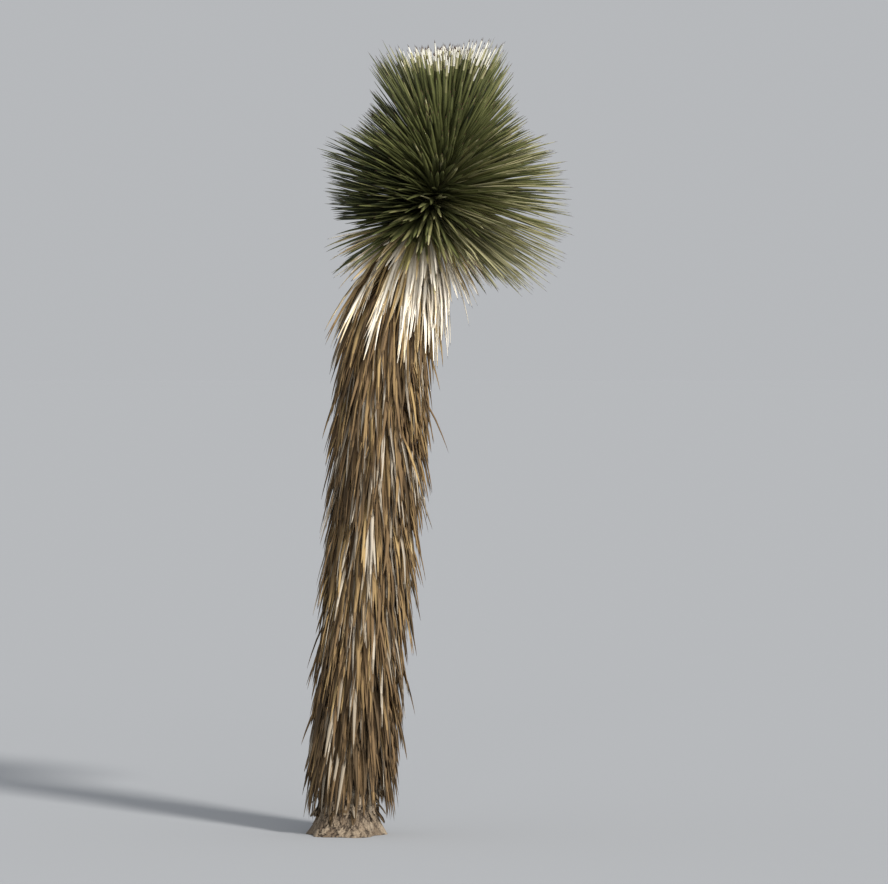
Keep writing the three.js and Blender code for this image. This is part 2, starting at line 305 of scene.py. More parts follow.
def around(radius: float | Array, turn: Array, up: float | Array) -> Array:
    """Gives points by their radius and turn round the upright axis, and their height."""
    places = np.broadcast_arrays(radius * np.cos(turn), radius * np.sin(turn), up)
    return np.stack(places, axis=-1)


def full_turn(columns: int) -> Array:
    """Gives the angles of points set evenly round a ring."""
    return np.linspace(0, 2 * math.pi, columns, endpoint=False)


def spiral(rng: Rng, count: int, spread: float) -> Array:
    """Gives the leaves' azimuths in radians from +X: a golden angle apart, give or take the spread."""
    return np.arange(count) * GOLDEN_ANGLE + rng.normal(0, spread, count)


def waves(table: tuple[Row, ...], height: Array, turn: Array) -> Array:
    """Gives the sum of sines, each by its size, radians per metre up, turns round and start."""
    return sum(size * np.sin(up * height + turns * turn + start) for size, up, turns, start in table)


# The stem, as the CAD source has it

@dataclass(frozen=True)
class Stem:
    """The line and thickness of the stem, by the rule and sizes of the CAD model."""

    tip: float = 2.0
    lean: float = 0.08
    elbow_start: float = 1.52
    elbow_shift: float = 0.13
    bow: float = 0.018
    radius_foot: float = 0.066
    radius_head: float = 0.044
    radius_tip: float = 0.030
    head_foot: float = 1.94
    flare: float = 0.046
    flare_height: float = 0.08
    lobe_depth: float = 0.1
    lobe_waves: tuple[Row, ...] = ((1.0, 0, 5, 0.7), (0.5, 0, 3, 0.0))

    def point(self, height: Array) -> Array:
        """Gives the stem's centre: a steady lean, a smooth elbow under the head and a slight bow.

        Args:
            height: heights above the ground.

        Returns:
            The centres. The elbow is 3 s squared - 2 s cubed of its own height, and the bow a half sine.
        """
        share = np.clip((height - self.elbow_start) / (self.tip - self.elbow_start), 0, 1)
        x = self.lean * height + self.elbow_shift * share**2 * (3 - 2 * share)
        y = self.bow * np.sin(math.pi * height / self.tip)
        return np.stack([x, y, height], axis=-1)

    def radius(self, height: Array) -> Array:
        """Gives the radius: an even taper plus a flare that fades exponentially upwards.

        Args:
            height: heights above the ground.

        Returns:
            The radii. Above the foot of the head they narrow evenly to that of the tip.
        """
        taper = between(self.radius_foot, self.radius_head, np.minimum(height / self.head_foot, 1))
        end = np.clip((height - self.head_foot) / (self.tip - self.head_foot), 0, 1)
        return between(taper + self.flare * np.exp(-height / self.flare_height), self.radius_tip, end)

    def lobes(self, height: Array, turn: Array) -> Array:
        """Gives the factor by which the root lobes swell the radius: sines that fade up to the thatch."""
        fade = 1 - np.clip(height / THATCH_FOOT, 0, 1)
        return 1 + self.lobe_depth * waves(self.lobe_waves, height, turn) * fade**2

    def root(self, height: Array, azimuth: Array) -> Array:
        """Gives the points where leaves are rooted, just below the surface at each height and azimuth."""
        radius = self.radius(height) * self.lobes(height, azimuth) - ROOT_SUNK
        return self.point(height) + around(radius, azimuth, 0.0)

    def directions(self, height: Array, azimuth: Array, upright: float | Array) -> tuple[Array, ...]:
        """Gives the directions that a leaf grows by.

        Along is the stem's own tangent, turned towards the sky by the share upright. Out is square to
        it at the azimuth, and side is across the leaf: along crossed with out.

        Args:
            height: where the leaf stands on the stem.
            azimuth: the way that it faces, in radians from +X.
            upright: 0 to follow the stem, 1 to follow the sky.

        Returns:
            Along, out and side, as arrays of unit vectors.
        """
        step = 1 * MM
        tangent = unit(self.point(height + step) - self.point(height - step))
        share = np.broadcast_to(upright, height.shape)[..., None]
        along = unit(tangent * (1 - share) + np.array([0.0, 0.0, 1.0]) * share)
        right = unit(np.array([1.0, 0.0, 0.0]) - along * along[..., :1])
        back = np.cross(along, right)
        out = right * np.cos(azimuth)[..., None] + back * np.sin(azimuth)[..., None]
        return along, out, np.cross(along, out)


# Meshes

def fill_mesh(name: str, points: Array, corners: Array, sizes: Array) -> Mesh:
    """Makes a mesh from whole arrays.

    Args:
        name: the mesh's name.
        points: vertex places, one row each.
        corners: the vertex index of every face corner, face after face.
        sizes: how many corners each face has.

    Returns:
        The mesh, with its edges worked out.
    """
    mesh = bpy.data.meshes.new(name)
    mesh.vertices.add(len(points))
    mesh.vertices.foreach_set("co", points.astype(np.float32).ravel())
    mesh.loops.add(len(corners))
    mesh.loops.foreach_set("vertex_index", corners.astype(np.int32))
    mesh.polygons.add(len(sizes))
    mesh.polygons.foreach_set("loop_start", (np.cumsum(sizes) - sizes).astype(np.int32))
    mesh.update(calc_edges=True)
    return mesh


def tube_faces(rows: int, columns: int) -> tuple[Array, Array]:
    """Gives the faces of a tube of rings, closed by a fan at each end.

    Args:
        rows: how many rings there are, from the foot up.
        columns: how many points each ring has. The two ends' centres follow the last ring.

    Returns:
        Corner indices, face after face, and how many corners each face has.
    """
    column = np.arange(columns)
    after = (column + 1) % columns
    start = np.arange(rows - 1)[:, None] * columns
    above = start + columns
    quads = np.stack([start + column, start + after, above + after, above + column], axis=-1)
    last = (rows - 1) * columns
    bottom = np.stack([after, column, 0 * column + rows * columns], axis=-1)
    top = np.stack([last + column, last + after, 0 * column + rows * columns + 1], axis=-1)
    corners = np.concatenate([quads.ravel(), bottom.ravel(), top.ravel()])
    return corners, np.concatenate([np.full((rows - 1) * columns, 4), np.full(2 * columns, 3)])


def lay_blade_map(mesh: Mesh, places: Array) -> None:
    """Gives each face corner its place in metres, as the UV map that the fibres follow."""
    blade = mesh.attributes.new("blade", "FLOAT2", "CORNER")
    blade.data.foreach_set("vector", places.astype(np.float32).ravel())


def add_object(name: str, data: ID) -> Object:
    """Adds an object that shows a mesh, a light or a camera.

    Args:
        name: the object's name.
        data: what it shows.

    Returns:
        The object, linked to the scene.
    """
    added = bpy.data.objects.new(name, data)
    bpy.context.scene.collection.objects.link(added)
    return added


def place_piece(mesh: Mesh, slot: str, *replaced: str) -> None:
    """Links a mesh as a piece of the plant that stands for CAD nodes.

    Args:
        mesh: the finished mesh, with its materials.
        slot: the name of a material slot; it is not used.
        replaced: the CAD nodes that it stands for.
    """
    piece = add_object(mesh.name, mesh)
    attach(piece, BODY)
    if replaced:
        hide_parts(*replaced)
    LOG.info("%s: %d faces, %d materials", piece.name, len(mesh.polygons), len(mesh.materials))


# Leaves

@dataclass(frozen=True)
class BladeForm:
    """The outline and section of one kind of leaf, and how much its leaves differ.

    The section has four corners: two thin edges lifted above the middle, so that the blade is a
    channel, and a keel below. The outline starts broad where it clasps the stem, narrows to its
    waist, and runs nearly even before it draws in to a point. Six zones take a tone of their own:
    base, lower, upper, shoulder, tip and the spine at the point. zone_ends holds where each ends.
    width_range and curls hold the least and the most, and swerve and twist the usual size.
    """

    stations: Row = (0.0, 0.06, 0.18, 0.4, 0.62, 0.8, 0.91, 0.965, 1.0)
    clasp: float = 0.9
    clasp_length: float = 0.05
    draw_in: float = 3.0
    fullness: float = 0.85
    lift: float = 0.16
    thickness: float = 0.2
    zone_ends: Row = (0.1, 0.5, 0.8, 0.92, 0.97)
    width: float = 0.0155
    width_range: Span = (0.85, 1.15)
    swerve: float = 0.06
    twist: float = 0.2
    curls: Span = (-0.05, 0.15)

    def middles(self) -> Array:
        """Gives the middle of each stretch between two stations."""
        s = np.array(self.stations)
        return (s[1:] + s[:-1]) / 2

    def widths(self) -> Array:
        """Gives the share of the full width: (1 + clasp fading out) x (1 - s to a power) to a power."""
        s = np.array(self.stations)
        clasped = 1 + self.clasp * np.exp(-s / self.clasp_length)
        return clasped * (1 - s**self.draw_in) ** self.fullness

    def zones(self) -> Array:
        """Gives the zone of each stretch between two stations."""
        return np.searchsorted(self.zone_ends, self.middles())

    def deal(self, rng: Rng, count: int) -> dict[str, Array]:
        """Deals each leaf a width, a swerve, a twist and a curl.

        Args:
            rng: the seeded generator.
            count: how many leaves there are.

        Returns:
            The four arrays, by the names that Leaves has for them.
        """
        return {
            "width": self.width * rng.uniform(*self.width_range, count),
            "swerve": rng.normal(0, self.swerve, count),
            "twist": rng.normal(0, self.twist, count),
            "curl": rng.uniform(*self.curls, count),
        }


LEAF_ROWS = ("root", "angles", "length", "width", "swerve", "twist", "curl")


@dataclass
class Leaves:
    """A batch of leaves as arrays, one row a leaf, which becomes one joined mesh.

    root is where each leaf starts, and directions holds its along, out and side. angles holds the
    angle between the blade and along on each stretch, in radians. swerve turns the blade sideways,
    twist turns its face from root to tip, and curl lifts its edges further. tones holds the tone of
    each zone.
    """

    form: BladeForm
    root: Array
    directions: tuple[Array, ...]
    angles: Array
    length: Array
    width: Array
    swerve: Array
    twist: Array
    curl: Array
    tones: Array | None = None

    def picked(self, chosen: Array, tones: Array) -> Leaves:
        """Gives a new batch with some of the leaves, in tones of their own.

        Args:
            chosen: true for each leaf that is kept.
            tones: the tones of those leaves.

        Returns:
            The smaller batch.
        """
        rows = {name: getattr(self, name)[chosen] for name in LEAF_ROWS}
        directions = tuple(vectors[chosen] for vectors in self.directions)
        return replace(self, directions=directions, tones=tones, **rows)

    def spines(self) -> Array:
        """Gives every leaf's line: the running sum of its steps, each at its own angle.

        Returns:
            Points at the stations, from the root to the tip.
        """
        along, out, side = (vectors[:, None] for vectors in self.directions)
        steps = np.diff(self.form.stations) * self.length[:, None]
        sideways = self.swerve[:, None] * self.form.middles()
        heading = np.cos(self.angles)[..., None] * along + np.sin(self.angles)[..., None] * out
        moved = np.cumsum(unit(heading + sideways[..., None] * side) * steps[..., None], axis=1)
        return self.root[:, None] + np.concatenate([0 * moved[:, :1], moved], axis=1)

    def points(self) -> Array:
        """Gives every vertex: four corners of the section at each station but the last, then the point.

        At a station the section stands square to the line. Across is side made square to the line,
        above is the line crossed with it, and both are turned by the twist so far.

        Returns:
            The vertices, leaf by leaf.
        """
        spine = self.spines()
        line = unit(np.gradient(spine, axis=1))
        side = self.directions[2][:, None]
        across = unit(side - line * np.sum(side * line, axis=-1, keepdims=True))
        above = np.cross(line, across)
        turn = (self.twist[:, None] * np.array(self.form.stations))[..., None]
        cos, sin = np.cos(turn), np.sin(turn)
        across, above = across * cos + above * sin, above * cos - across * sin
        half = (self.width[:, None] * self.form.widths() / 2)[..., None]
        lift = (self.form.lift + self.curl)[:, None, None]
        spread = half / np.sqrt(1 + lift**2)
        left = spine + across * spread + above * spread * lift
        right = spine - across * spread + above * spread * lift
        keel = spine - above * half * 2 * self.form.thickness
        section = np.stack([left, spine, right, keel], axis=2)[:, :-1]
        return np.concatenate([section.reshape(len(section), -1, 3), spine[:, -1:]], axis=1)

    def faces(self) -> tuple[Array, Array, Array]:
        """Gives one leaf's faces: four round each stretch, with a cap at the root and a point at the tip.

        Returns:
            Corner indices, corner counts, and the stretch that each face is on.
        """
        rings = len(self.form.stations) - 1
        last = 4 * (rings - 1)
        sides = [(k, (k + 1) % 4) for k in range(4)]
        every = [[3, 2, 1, 0]]
        for low in range(0, last, 4):
            every += [[low + a, low + b, low + 4 + b, low + 4 + a] for a, b in sides]
        every += [[last + a, last + b, last + 4] for a, b in sides]
        corners = np.array([corner for face in every for corner in face])
        stretch = [0] + [j for j in range(rings) for _ in sides]
        return corners, np.array([len(face) for face in every]), np.array(stretch)

    def uv(self) -> Array:
        """Gives each vertex its place on the blade, in metres.

        Returns:
            Across from the middle and along from the root. The keel takes half the width.
        """
        half = self.width[:, None] * self.form.widths()[:-1] / 2
        across = half[..., None] * np.array([1.0, 0.0, -1.0, 0.5])
        along = (self.length[:, None] * np.array(self.form.stations[:-1]))[..., None] + 0 * across
        section = np.stack([across, along], axis=-1).reshape(len(self.length), -1, 2)
        tips = np.stack([0 * self.length, self.length], axis=-1)[:, None]
        return np.concatenate([section, tips], axis=1).reshape(-1, 2)

    def mesh(self, name: str) -> Mesh:
        """Joins every leaf into one mesh with its blade UV map and only the tones that it uses.

        Args:
            name: the mesh's name.

        Returns:
            The mesh, with a material for each tone.
        """
        points = self.points()
        count, each = points.shape[:2]
        corners, sizes, stretch = self.faces()
        all_corners = (corners + np.arange(count)[:, None] * each).ravel()
        mesh = fill_mesh(name, points.reshape(-1, 3), all_corners, np.tile(sizes, count))
        used, index = np.unique(self.tones[:, self.form.zones()[stretch]], return_inverse=True)
        for number in used:
            mesh.materials.append(TONES[number].material())
        mesh.polygons.foreach_set("material_index", index.astype(np.int32).ravel())
        lay_blade_map(mesh, self.uv()[all_corners])
        mesh.update()
        return mesh


# The parts of the plant

@dataclass
class BarkedStem:
    """The whole stem with the relief of its bark, from the flat cut to the growing tip.

    The bark is a grid of rings and columns. Its plates are the cells round scattered seeds, and the
    relief falls into a fissure where two cells meet. Waves of several lengths, with their sizes in
    plates, bend the rows and columns of plates.
    """

    stem: Stem
    columns: int = 288
    foot_rows: int = 150
    upper_rows: int = 90
    foot_height: float = 0.36
    plates_round: int = 27
    plate_height: float = 0.036
    fissure_depth: float = 7 * MM
    fissure_width: float = 0.14
    plate_step: float = 3 * MM
    level_relief: float = 0.85
    crack_depth: float = 1.6 * MM
    # Painted shade: the share of the plates' tone left in a crack.
    crack_shade_floor: float = 0.45
    cracks_per_plate: int = 3
    crack_height: float = 0.6
    column_waves: tuple[Row, ...] = ((0.15, 60, 2, 0), (0.09, 410, 17, 0), (0.06, 930, -41, 0))
    row_waves: tuple[Row, ...] = ((0.3, 0, 3, 0), (0.2, 40, 11, 0), (0.1, -260, 53, 0))

    def cells(self, u: Array, v: Array, squares: int) -> tuple[Array, Array]:
        """Gives the relief between cells, and each cell's own number.

        Every square has one seed. The relief is 1 minus a bell curve of the difference between the
        distances to the nearest two seeds. A seed's place and number come from its square: the part
        behind the point of a large multiple of a sine.

        Args:
            u: the place round the stem, in squares.
            v: the place up the stem, in squares.
            squares: how many squares go round the stem.

        Returns:
            The relief from 0 in a fissure to 1 on a cell, and a number from 0 to 1 for each cell.
        """
        near = second = np.full(u.shape, math.inf)
        number = np.zeros(u.shape)
        for du in (-1, 0, 1):
            for dv in (-1, 0, 1):
                square_u, square_v = np.floor(u) + du, np.floor(v) + dv
                mix = np.mod(square_u, squares) * HASH_ACROSS + square_v * HASH_UP
                random = [np.mod(np.sin(mix + shift) * HASH_SCALE, 1) for shift in HASH_SHIFTS]
                away = np.hypot(u - square_u - random[0], v - square_v - random[1])
                number = np.where(away < near, random[2], number)
                second = np.minimum(second, np.maximum(near, away))
                near = np.minimum(near, away)
        return 1 - np.exp(-(((second - near) / self.fissure_width) ** 2)), number

    def build(self) -> None:
        """Builds the bark as one closed mesh that replaces the CAD trunk.

        The radius is the stem's own where the relief is level_relief, less the depth of the fissures
        and cracks, with each plate standing a little prouder or lower than the next.
        """
        foot = np.linspace(0, self.foot_height, self.foot_rows, endpoint=False)
        height = np.concatenate([foot, np.linspace(self.foot_height, self.stem.tip, self.upper_rows)])
        turns, heights = np.meshgrid(full_turn(self.columns), height)
        u = turns / (2 * math.pi) * self.plates_round + waves(self.column_waves, heights, turns)
        v = heights / self.plate_height + waves(self.row_waves, heights, turns)
        relief, number = self.cells(u, v, self.plates_round)
        finer = self.cracks_per_plate
        cracks, _ = self.cells(u * finer, v * finer * self.crack_height, self.plates_round * finer)
        radius = self.stem.radius(heights) * self.stem.lobes(heights, turns)
        radius += self.fissure_depth * (relief - self.level_relief) + self.crack_depth * (cracks - 1)
        radius += self.plate_step * (number - 0.5) * relief
        grid = (self.stem.point(heights) + around(radius, turns, 0.0)).reshape(-1, 3)
        ends = self.stem.point(np.array([0.0, self.stem.tip]))
        corners, sizes = tube_faces(len(height), self.columns)
        mesh = fill_mesh("barked_stem", np.concatenate([grid, ends]), corners, sizes)
        # Painted shade: the relief, darkened further in the cracks, becomes the colour's shade mask.
        shade = relief * between(self.crack_shade_floor, 1.0, cracks)
        for name, values in (("relief", shade), ("plate", number)):
            values = np.append(values, np.full(len(ends), 0.5)).astype(np.float32)
            mesh.attributes.new(name, "FLOAT", "POINT").data.foreach_set("value", values)
        mesh.materials.append(CorkyBark().material())
        mesh.shade_smooth()
        place_piece(mesh, "bark", "trunk")


@dataclass
class GrowingTip:
    """The bud on the tip of the stem, a pale dome of packed young leaf bases, which the crest hides."""

    stem: Stem
    radius: float = 0.031
    height: float = 0.055
    columns: int = 48
    rows: int = 16
    scales: int = 13
    scale_depth: float = 2 * MM
    scale_slant: float = 4.0

    def build(self) -> None:
        """Builds the dome: a half ellipse turned round, with scales by the size of a sine that winds up."""
        rise = np.linspace(0, math.pi / 2, self.rows, endpoint=False)
        turns, rises = np.meshgrid(full_turn(self.columns), rise)
        scales = np.abs(np.sin(self.scales * turns / 2 + self.scale_slant * rises))
        radius = (self.radius + self.scale_depth * scales) * np.cos(rises)
        grid = around(radius, turns, self.height * np.sin(rises))
        points = np.concatenate([grid.reshape(-1, 3), [[0, 0, 0], [0, 0, self.height]]])
        points += self.stem.point(np.array([self.stem.tip]))
        corners, sizes = tube_faces(self.rows, self.columns)
        mesh = fill_mesh("growing_tip", points, corners, sizes)
        lay_blade_map(mesh, points[corners][:, [0, 2]])
        mesh.materials.append(Tone.PALE_TIP.material())
        mesh.shade_smooth()
        place_piece(mesh, "new_leaf")


@dataclass(frozen=True)
class Growth:
    """How leaves stand in the head, by the CAD model's rule: how far they reach, and how upright.

    The table of reach by angle is read with a small tilt to the side that the stem leans to. The
    older half of the leaves grows longer with age on that side, and shorter on the other. lean is the
    cosine of a leaf's azimuth, and age runs from 0 for the newest to 1 for the oldest green leaf.
    """

    angles: Row = (0, 20, 29, 43, 58, 71, 86, 104, 114, 125)
    reaches: Row = (0.262, 0.300, 0.345, 0.254, 0.254, 0.328, 0.330, 0.328, 0.245, 0.200)
    lean_side_tilt: float = 4.5
    lean_side_reach: float = 0.6
    lean_side_age: float = 0.5
    uprights: Span = (0.5, 0.1)

    def reach(self, degrees: Array, lean: Array, age: Array) -> Array:
        """Gives the length of each green leaf by its angle from the stem, its lean and its age."""
        table = np.interp(degrees + self.lean_side_tilt * lean, self.angles, self.reaches)
        return table * (1 + self.lean_side_reach * np.maximum(age - self.lean_side_age, 0) * lean)

    def upright(self, age: Array) -> Array:
        """Gives the share by which a green leaf follows the sky instead of the stem, less with age."""
        return between(*self.uprights, age)


@dataclass(frozen=True)
class Level:
    """One level of the green head.

    It has its CAD node, the height of its foot, its slot, the usual rung of its leaves among its
    greens, how many rungs paler their tips are, and the share of that which is left where a leaf
    leans far to one side. On the crest the pale tips are partly a painted highlight.
    """

    node: str
    foot: float
    slot: str
    rung: float
    pale: float
    greens: tuple[Tone, ...] = GREENS
    plain: float = 1.0


LEVELS = (
    # The crest's tips pale by many rungs: partly pale tips, partly a painted highlight that fades where a
    # leaf leans to either side.
    Level("crown_crest", 2.0, "new_leaf", rung=2.3, pale=4.7, greens=GREENS_AND_TIP_HIGHLIGHT, plain=0.1),
    Level("crown_upper", 1.94, "green_leaf", rung=1.9, pale=0.8),
    Level("crown_middle", 1.88, "green_leaf", rung=2.0, pale=0.8),
    Level("crown_lower", 1.82, "old_leaf", rung=2.6, pale=0.9),
)


@dataclass
class GreenHead:
    """The round head: one spiral of green leaves by the CAD rule, with more and narrower leaves."""

    stem: Stem
    leaves: int = 1800
    newest_height: float = 2.04
    oldest_height: float = 1.82
    oldest_angle: float = 112.0
    angle_power: float = 0.75
    growth: Growth = Growth()
    angle_spread: float = 5.0
    azimuth_spread: float = 0.1
    root_extra: float = 0.008
    # Painted light and shade: rungs paler towards +X, where the sun lamp stands, and darker away from it,
    # more with age.
    painted_light_by_side: float = 2.7
    # Angles, times the size of the lean, over which the crest's painted tip highlight fades.
    pale_angles: Span = (19.0, 27.0)
    tone_spread: float = 0.9
    drift: Row = (1.6, 0.0, 0.3, 0.0, 0.0)
    # Rungs of tip paling by zone, times the level's pale: pale tips, and on the crest a painted highlight.
    tip_paling_and_highlight: Row = (0.0, 0.0, 0.0, 0.6, 1.0)
    length_range: Span = (0.94, 1.04)
    sag: float = 0.05
    sag_range: Span = (-0.4, 1.6)
    dome_radius: float = 0.030
    dome_height: float = 0.047
    dome_narrows: float = 0.9
    form: BladeForm = BladeForm(draw_in=4.0)

    def build(self, rng: Rng) -> None:
        """Builds the head level by level.

        A leaf's age runs from 0 to 1 down the spiral. Its angle grows with a power of the age, and it
        sags as the square of the way along it, most where it stands level.

        Args:
            rng: the seeded generator.
        """
        count = self.leaves
        age = (np.arange(count) + 0.5) / count
        azimuth = spiral(rng, count, self.azimuth_spread)
        lean = np.cos(azimuth)
        degrees = self.oldest_angle * age**self.angle_power + rng.normal(0, self.angle_spread, count)
        degrees = np.abs(degrees)
        reach = self.growth.reach(degrees, lean, age) + self.root_extra
        angle = np.radians(degrees)
        height = between(self.newest_height, self.oldest_height, age)
        sag = self.sag * rng.uniform(*self.sag_range, count) * np.sin(angle)
        leaves = Leaves(
            form=self.form, root=self.roots(height, azimuth),
            directions=self.stem.directions(
                np.minimum(height, self.stem.tip), azimuth, self.growth.upright(age),
            ),
            angles=angle[:, None] + 2 * sag[:, None] * self.form.middles(),
            length=reach * rng.uniform(*self.length_range, count), **self.form.deal(rng, count),
        )
        top = math.inf
        for level in LEVELS:
            chosen = (height > level.foot) & (height <= top)
            top = level.foot
            tones = self.tones(rng, level, age[chosen], degrees[chosen], lean[chosen])
            part = leaves.picked(chosen, tones)
            place_piece(part.mesh(level.node + "_leaves"), level.slot, level.node)

    def tones(self, rng: Rng, level: Level, age: Array, degrees: Array, lean: Array) -> Array:
        """Deals the greens of one level.

        A leaf is paler on the lit side and darker on the other, by its age times its lean: painted light
        and shade. Tips are paler: pale tips, and on the crest a painted highlight as well, which mostly
        fades where its angle times the size of its lean is large.

        Args:
            rng: the seeded generator.
            level: the level.
            age: from 0, the newest leaf, to 1.
            degrees: each leaf's angle from the stem.
            lean: the cosine of its azimuth.

        Returns:
            The tones of each leaf's zones.
        """
        # Tip paling: pale tips, and on the crest a painted highlight that fades on leaves leaning far to
        # either side.
        pale = level.pale * np.interp(degrees * np.abs(lean), self.pale_angles, (1, level.plain))
        drift = pale[:, None] * np.array(self.tip_paling_and_highlight) + np.array(self.drift)
        # Painted light and shade: paler towards the lit side, darker on the shaded side.
        rung = level.rung + self.painted_light_by_side * age * lean
        return deal_tones(rng, level.greens, rung, self.tone_spread, drift)

    def roots(self, height: Array, azimuth: Array) -> Array:
        """Gives the roots: on the stem, and above its tip on a half ellipse that narrows upwards.

        Args:
            height: the height of each leaf's place on the spiral.
            azimuth: the way that it faces, in radians from +X.

        Returns:
            The points where the leaves are rooted.
        """
        root = self.stem.root(np.minimum(height, self.stem.tip), azimuth)
        risen = np.clip((height - self.stem.tip) / (self.newest_height - self.stem.tip), 0, 1)
        on_dome = risen > 0
        reach = self.dome_radius * (1 - self.dome_narrows * risen[on_dome])
        up = self.dome_height * np.sqrt(1 - (reach / self.dome_radius) ** 2)
        tip = self.stem.point(np.full(reach.shape, self.stem.tip))
        root[on_dome] = tip + around(reach, azimuth[on_dome], up)
        return root


@dataclass
class FadingRing:
    """The oldest leaves of the head, turning yellow and straw, which point out and down and droop."""

    stem: Stem
    leaves: int = 150
    top: float = 1.812
    foot: float = 1.785
    angles: Span = (110.0, 140.0)
    angle_spread: float = 6.0
    reach: float = 0.245
    length_range: Span = (0.85, 1.1)
    most_droop: float = 22.0
    droop_pivot: float = 0.35
    fading_upright: float = 0.5
    rungs: Span = (2.6, 5.2)
    # Painted light and shade: rungs paler towards +X, the lit side, and darker away from it.
    painted_light_by_side: float = 1.3
    bunch_paler: float = 2.0
    tone_spread: float = 1.0
    drift: Row = (1.0, 0.0, 0.5, 0.7, 0.8)
    form: BladeForm = BladeForm(
        lift=0.3, width_range=(0.8, 1.1), swerve=0.1, twist=0.4, curls=(0.0, 0.4),
    )

    def build(self, rng: Rng) -> None:
        """Builds the ring: angle and height change evenly down it, and each blade droops along its length.

        Leaves fade evenly down the ring, and more so above a bunch of the skirt. They are also paler
        on the lit side and darker on the other, as painted light and shade.

        Args:
            rng: the seeded generator.
        """
        count = self.leaves
        share = (np.arange(count) + 0.5) / count
        azimuth = np.arange(count) * GOLDEN_ANGLE
        height = between(self.top, self.foot, share)
        start = between(*self.angles, share) + rng.uniform(-self.angle_spread, self.angle_spread, count)
        droop = rng.uniform(0, self.most_droop, count)
        rung = between(*self.rungs, share)
        # Painted light and shade by the cosine of the azimuth; the bunches are the skirt's own pale
        # bunches.
        rung += self.painted_light_by_side * np.cos(azimuth) + self.bunch_paler * np.cos(SKIRT_BUNCHES * azimuth)
        leaves = Leaves(
            form=self.form, root=self.stem.root(height, azimuth),
            directions=self.stem.directions(height, azimuth, self.fading_upright),
            angles=np.radians(start[:, None] + droop[:, None] * (self.form.middles() - self.droop_pivot)),
            length=self.reach * rng.uniform(*self.length_range, count), **self.form.deal(rng, count),
            tones=deal_tones(rng, FADING, rung, self.tone_spread, self.drift),
        )
        place_piece(leaves.mesh("fading_leaves"), "fading_leaf", "fading_ring")


@dataclass
class DeadTier:
    """One tier of dead leaves, which turn over at their roots and hang down against the stem.

    Each leaf leaves the stem at a wide angle, comes over within a fifth of its length, and lies on
    the leaves below it, a little further out than they are. turn_over holds the angles off the stem
    along the blade. Weathering runs from 0 at the top of the thatch to 1 at its foot.
    """

    stem: Stem
    name: str
    node: str
    slot: str
    top: float
    foot: float
    leaves: int
    browns: float
    grey_share: float
    bunches: int = 0
    flare: float = 0.0
    ageing: float = 0.0
    # Painted light and shade: rungs paler towards +X, the lit side, and darker away from it.
    painted_light_by_side: float = 0.0
    bunching: float = 0.9
    bunch_paler: float = 2.5
    margin: float = 4 * MM
    lengths: Span = (0.300, 0.225)
    length_range: Span = (0.72, 1.08)
    upright: float = 0.55
    azimuth_spread: float = 0.1
    angle_spread: float = 3.0
    loose_share: float = 0.03
    loose_angles: Span = (5.0, 11.0)
    lowest_tip: float = 0.03
    bent_longer: float = 1.02
    weathered_closer: float = 0.15
    brown_spread: float = 0.8
    grey_rung: float = 2.0
    grey_spread: float = 0.7
    drift: Row = (0.5, 0.0, 0.3, 0.0, -0.4)
    turn_over: Row = (62.0, 40.0, 25.0, 16.0, 11.0, 9.0, 8.0, 8.0)
    form: BladeForm = BladeForm(
        clasp=0.7, draw_in=2.6, lift=0.35, thickness=0.1, width=0.0150, width_range=(0.75, 1.2),
        swerve=0.1, twist=0.7, curls=(0.0, 0.9),
    )

    def build(self, rng: Rng) -> None:
        """Builds the tier, one leaf a golden angle on from the last, from its top to its foot.

        A sine of the azimuth draws the leaves into bunches, each palest in its middle. They darken
        evenly down the tier by its ageing, and with the cosine of their azimuth are paler towards the
        lit side and darker away from it, as painted light and shade. Flare tips them all outwards, and
        a few are loose. None hangs below the lowest tip.

        Args:
            rng: the seeded generator.
        """
        count = self.leaves
        height = np.linspace(self.top - self.margin, self.foot + self.margin, count)
        azimuth = spiral(rng, count, self.azimuth_spread)
        bunched = 0 * azimuth
        if self.bunches:
            bunched = np.cos(self.bunches * azimuth)
            azimuth = azimuth - self.bunching / self.bunches * np.sin(self.bunches * azimuth)
        weathering = np.clip((THATCH_TOP - height) / (THATCH_TOP - THATCH_FOOT), 0, 1)
        length = between(*self.lengths, weathering)
        longest = (height - self.lowest_tip) * self.bent_longer
        length = np.minimum(length * rng.uniform(*self.length_range, count), longest)
        loose = rng.normal(self.flare, self.angle_spread, count)
        loose += rng.uniform(*self.loose_angles, count) * (rng.random(count) < self.loose_share)
        closer = 1 - self.weathered_closer * weathering[:, None]
        off = np.array(self.turn_over) * closer + loose[:, None]
        rung = self.browns - self.ageing * np.linspace(0, 1, count) + self.bunch_paler * bunched
        # Painted light and shade by the cosine of the azimuth.
        rung += self.painted_light_by_side * np.cos(azimuth)
        browns = deal_tones(rng, BROWNS, rung, self.brown_spread, self.drift)
        greys = deal_tones(rng, GREYS, np.full(count, self.grey_rung), self.grey_spread, self.drift)
        grey = rng.random(count) < self.grey_share
        leaves = Leaves(
            form=self.form, root=self.stem.root(height, azimuth),
            directions=self.stem.directions(height, azimuth, self.upright), angles=np.radians(180 - off),
            length=length, **self.form.deal(rng, count), tones=np.where(grey[:, None], greys, browns),
        )
        place_piece(leaves.mesh(self.name), self.slot, self.node)


